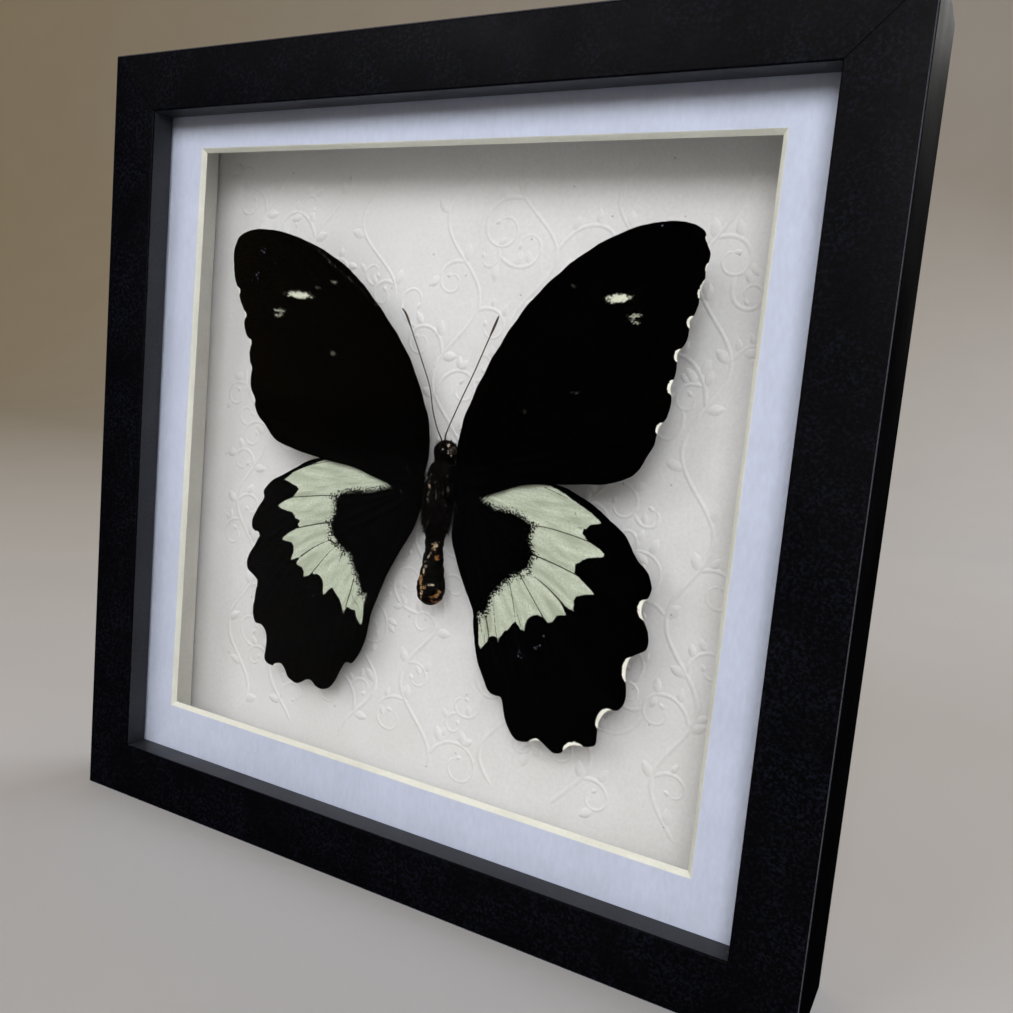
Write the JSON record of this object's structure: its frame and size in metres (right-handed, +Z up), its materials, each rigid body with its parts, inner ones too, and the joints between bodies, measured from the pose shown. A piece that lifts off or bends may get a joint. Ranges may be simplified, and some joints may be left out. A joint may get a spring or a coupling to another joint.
{
  "type": "framed butterfly specimen",
  "caption": "Square black box frame with a bevel-cut mat and a spread black and cream swallowtail butterfly held in front of embossed ivory paper.",
  "frame": {"origin": "on the surface it stands on, under the middle of the frame, halfway between its front and back", "axes": "+Z up, the glazed front faces -Y, +X to the right as seen from the front"},
  "size_m": [0.2, 0.028, 0.2],
  "materials": {
    "frame_black": "satin",
    "pane_glass": "polished",
    "mat_white": "matte",
    "spacer_cream": "matte",
    "paper_ivory": "matte",
    "backing_brown": "matte",
    "tab_steel": "satin",
    "pad_foam": "matte",
    "body_black": "matte",
    "wing_black": "matte",
    "antenna_brown": "satin"
  },
  "bodies": {
    "root": {"rail_top": "frame_black", "rail_bottom": "frame_black", "rail_left": "frame_black", "rail_right": "frame_black", "glass_pane": "pane_glass", "mat_board": "mat_white", "spacer_top": "spacer_cream", "spacer_bottom": "spacer_cream", "spacer_left": "spacer_cream", "spacer_right": "spacer_cream", "background_board": "paper_ivory", "backing_panel": "backing_brown", "retaining_tab_bottom_1": "tab_steel", "retaining_tab_bottom_2": "tab_steel", "retaining_tab_left_1": "tab_steel", "retaining_tab_left_2": "tab_steel", "retaining_tab_top_1": "tab_steel", "retaining_tab_top_2": "tab_steel", "retaining_tab_right_1": "tab_steel", "retaining_tab_right_2": "tab_steel", "sawtooth_hanger": "tab_steel", "hanger_rivet_left": "tab_steel", "hanger_rivet_right": "tab_steel", "specimen_pad": "pad_foam", "butterfly_body": "body_black", "forewing_left": "wing_black", "forewing_right": "wing_black", "hindwing_left": "wing_black", "hindwing_right": "wing_black", "antenna_left": "antenna_brown", "antenna_right": "antenna_brown"}
  },
  "joints": []
}
